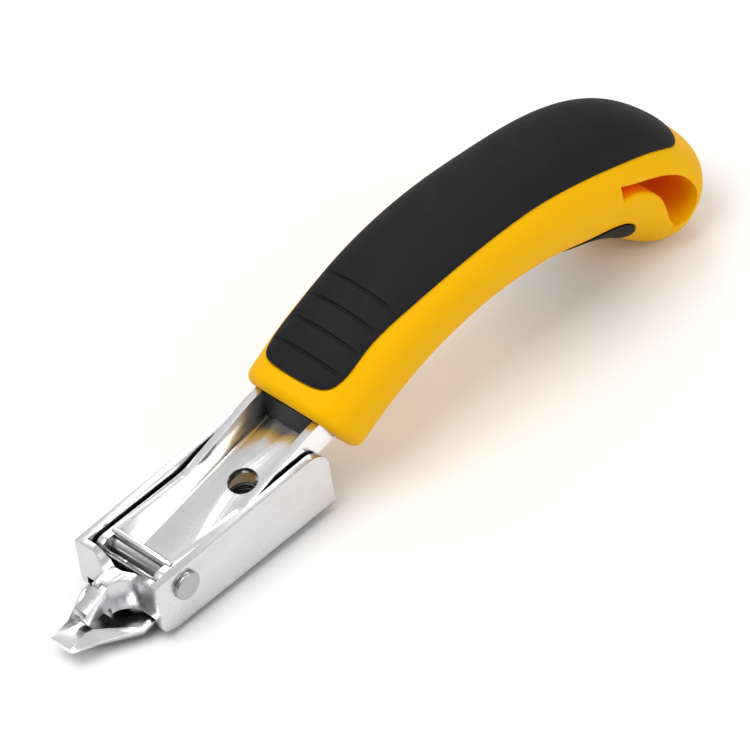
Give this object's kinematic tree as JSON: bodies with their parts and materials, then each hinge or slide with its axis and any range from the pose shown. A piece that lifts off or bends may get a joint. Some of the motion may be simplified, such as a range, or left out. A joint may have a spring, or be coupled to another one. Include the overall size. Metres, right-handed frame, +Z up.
{
  "type": "staple remover",
  "caption": "Hand tool for lifting upholstery staples: a sprung beak and a chisel jaw riveted together, on a curved handle with soft grips and a hang hole.",
  "frame": {"origin": "centre of the tool's footprint on the bench, below the middle of its length", "axes": "+X from the jaws to the handle's butt, +Y to the tool's left, +Z up as it stands on the bracket and the butt"},
  "size_m": [0.1762, 0.0278, 0.0426],
  "materials": {
    "plated_steel": "polished",
    "rivet_steel": "satin",
    "spring_steel": "satin",
    "yellow_plastic": "satin moulded",
    "black_grip": "fine matt texture",
    "black_plastic": "matt"
  },
  "bodies": {
    "handle": {"handle_shell": "yellow_plastic", "top_grip": "black_grip", "belly_grip": "black_grip", "mouth_plug": "black_plastic", "lever_channel": "plated_steel", "cross_pin": "plated_steel"},
    "bracket": {"jaw_bracket": "plated_steel", "pivot_rivet": "rivet_steel", "return_spring": "spring_steel"}
  },
  "joints": [
    {"name": "jaw_close", "type": "hinge", "parent": "handle", "child": "bracket", "pos_m": [-0.06394, 0, 0.0106], "axis": [0, -1, 0], "range_deg": [0, 3.2], "stiffness_Nm_per_rad": 1.5, "springref_deg": -5.73, "deforming": ["return_spring"]}
  ]
}
